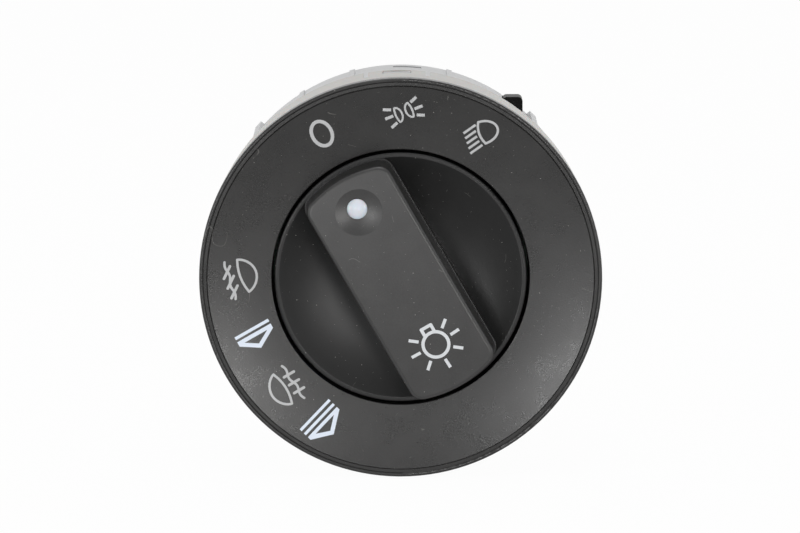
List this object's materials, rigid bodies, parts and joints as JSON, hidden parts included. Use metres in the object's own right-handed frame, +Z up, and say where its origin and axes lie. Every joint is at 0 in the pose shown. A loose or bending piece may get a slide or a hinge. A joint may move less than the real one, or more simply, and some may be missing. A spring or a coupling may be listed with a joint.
{
  "type": "rotary headlight switch",
  "caption": "Round dash-mounted rotary headlight switch with a dished black bezel, a turning and pulling bar-grip knob, a sprung latch and a rear plug socket.",
  "frame": {"origin": "on the axis of the switch, in the plane where the ring's lip sits on the dash", "axes": "+Y runs along the switch from the driver into the dash, +Z is up, +X is the driver's right"},
  "size_m": [0.086, 0.0651, 0.086],
  "materials": {
    "ring_black": "fine matte, laser-marked symbols",
    "guide_white": "milky translucent",
    "barrel_grey": "satin moulded",
    "cover_black": "satin moulded",
    "tinned_brass": "tinned",
    "board_green": "solder mask",
    "zinc_steel": "zinc plated",
    "lamp_white": "clear epoxy",
    "plate_nylon": "glass-filled nylon",
    "track_copper": "stamped strip",
    "spring_steel": "drawn wire",
    "rotor_nylon": "natural",
    "collar_black": "moulded",
    "shaft_black": "moulded",
    "knob_black": "smooth satin",
    "grip_black": "soft matte",
    "lens_white": "pearly dome",
    "carriage_white": "natural",
    "latch_black": "moulded"
  },
  "bodies": {
    "housing": {"front_ring": "ring_black", "light_guide": "guide_white", "housing_barrel": "barrel_grey", "rear_cover": "cover_black", "terminals": "tinned_brass", "circuit_board": "board_green", "board_pins": "tinned_brass", "board_screws": "zinc_steel", "symbol_leds": "lamp_white", "pointer_leds": "lamp_white", "contact_plate": "plate_nylon", "contact_tracks": "track_copper", "fog_tracks": "track_copper", "plate_screws": "zinc_steel", "detent_balls": "spring_steel", "detent_springs": "spring_steel", "latch_spring": "spring_steel"},
    "rotor": {"rotor": "rotor_nylon", "rotor_contacts": "track_copper", "collar_clip": "spring_steel", "push_spring": "spring_steel"},
    "collar": {"release_collar": "collar_black"},
    "knob": {"knob_shaft": "shaft_black", "shaft_clip": "spring_steel", "knob_body": "knob_black", "grip_cap": "grip_black", "indicator_lens": "lens_white", "knob_screw": "zinc_steel"},
    "carriage": {"pull_carriage": "carriage_white", "carriage_contacts": "track_copper"},
    "latch": {"release_latch": "latch_black"}
  },
  "joints": [
    {"name": "knob_turn", "type": "hinge", "parent": "housing", "child": "rotor", "pos_m": [0, 0.015, 0], "axis": [0, 1, 0], "range_deg": [0, 60]},
    {"name": "knob_push", "type": "slide", "parent": "rotor", "child": "collar", "axis": [0, 1, 0], "range_m": [0, 0.0025], "stiffness_N_per_m": 2000, "springref_m": -0.001, "deforming": ["push_spring"]},
    {"name": "knob_pull", "type": "slide", "parent": "collar", "child": "knob", "axis": [0, -1, 0], "range_m": [0, 0.008]},
    {"name": "carriage_swivel", "type": "hinge", "parent": "knob", "child": "carriage", "pos_m": [0, 0.034, 0], "axis": [0, 1, 0], "range_deg": [-60, 0]},
    {"name": "latch_slide", "type": "slide", "parent": "housing", "child": "latch", "axis": [0, 0, -1], "range_m": [0, 0.003], "stiffness_N_per_m": 300, "springref_m": -0.002, "deforming": ["latch_spring"]}
  ],
  "couplings": [
    {"joint": "carriage_swivel", "follows": "knob_turn", "ratio": -1}
  ]
}
